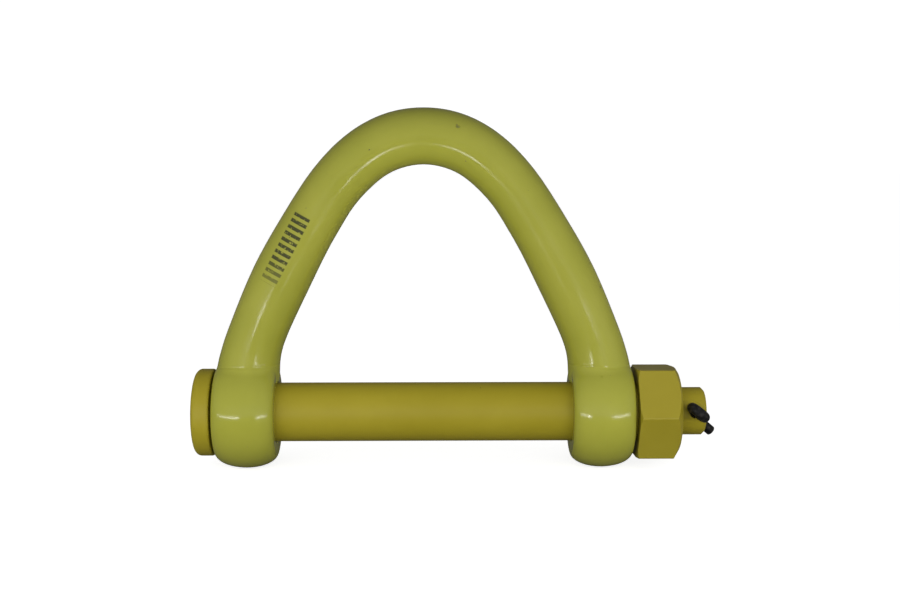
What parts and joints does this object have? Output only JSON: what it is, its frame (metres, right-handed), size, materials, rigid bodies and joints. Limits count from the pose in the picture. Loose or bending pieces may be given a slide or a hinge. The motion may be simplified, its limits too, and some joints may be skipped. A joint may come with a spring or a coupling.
{
  "type": "web sling shackle",
  "caption": "Bolt-type lifting shackle: wide triangular round-bar bow with two eyes, a round-headed bolt across them, a hex nut and a split pin.",
  "frame": {"origin": "on the bolt's axis, midway between the bow's two eyes", "axes": "+X along the bolt from its head to its nut, +Z from the bolt to the crown of the bow, -Y is the front"},
  "size_m": [0.2859, 0.06, 0.1936],
  "materials": {
    "bow_paint": "glossy yellow-green enamel",
    "bolt_paint": "glossy mustard enamel",
    "pin_steel": "black oxide"
  },
  "bodies": {
    "bow": {"bow": "bow_paint"},
    "bolt": {"bolt": "bolt_paint"},
    "nut": {"nut": "bolt_paint"},
    "cotter_pin": {"cotter_pin": "pin_steel"}
  },
  "joints": [
    {"name": "bolt_spin", "type": "hinge", "parent": "bow", "child": "bolt", "pos_m": [0, 0, 0], "axis": [1, 0, 0], "continuous": true},
    {"name": "nut_turn", "type": "hinge", "parent": "bolt", "child": "nut", "pos_m": [0.1255, 0, 0], "axis": [1, 0, 0], "range_deg": [0, 180]},
    {"name": "cotter_swivel", "type": "hinge", "parent": "bolt", "child": "cotter_pin", "pos_m": [0.1453, 0, 0], "axis": [0, 0.9903, -0.1392], "range_deg": [-155, 73]}
  ]
}
